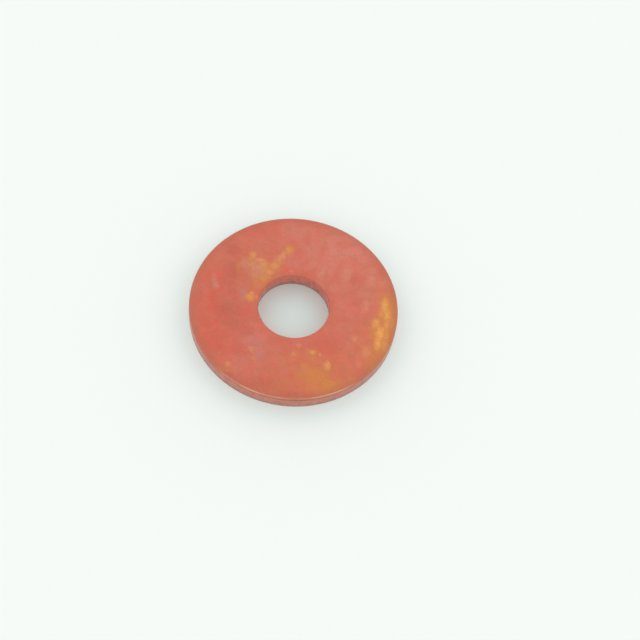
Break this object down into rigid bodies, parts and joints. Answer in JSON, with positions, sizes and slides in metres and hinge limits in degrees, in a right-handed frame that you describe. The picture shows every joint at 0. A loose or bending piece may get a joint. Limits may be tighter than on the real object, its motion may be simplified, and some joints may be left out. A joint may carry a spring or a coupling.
{
  "type": "copper washer",
  "caption": "Flat copper ring with a round central hole and rolled upper edges, clamped under a bolt head or union to seal it.",
  "frame": {"origin": "middle of the hole in the plane of the lower face, which the washer lies on", "axes": "+Z along the hole's axis, from the lower face to the upper one with the rolled edges; +X and +Y lie in the lower face"},
  "size_m": [0.024, 0.024, 0.002],
  "materials": {
    "copper": "satin copper with a red oxide bloom and ochre stains"
  },
  "bodies": {
    "root": {"washer": "copper"}
  },
  "joints": []
}
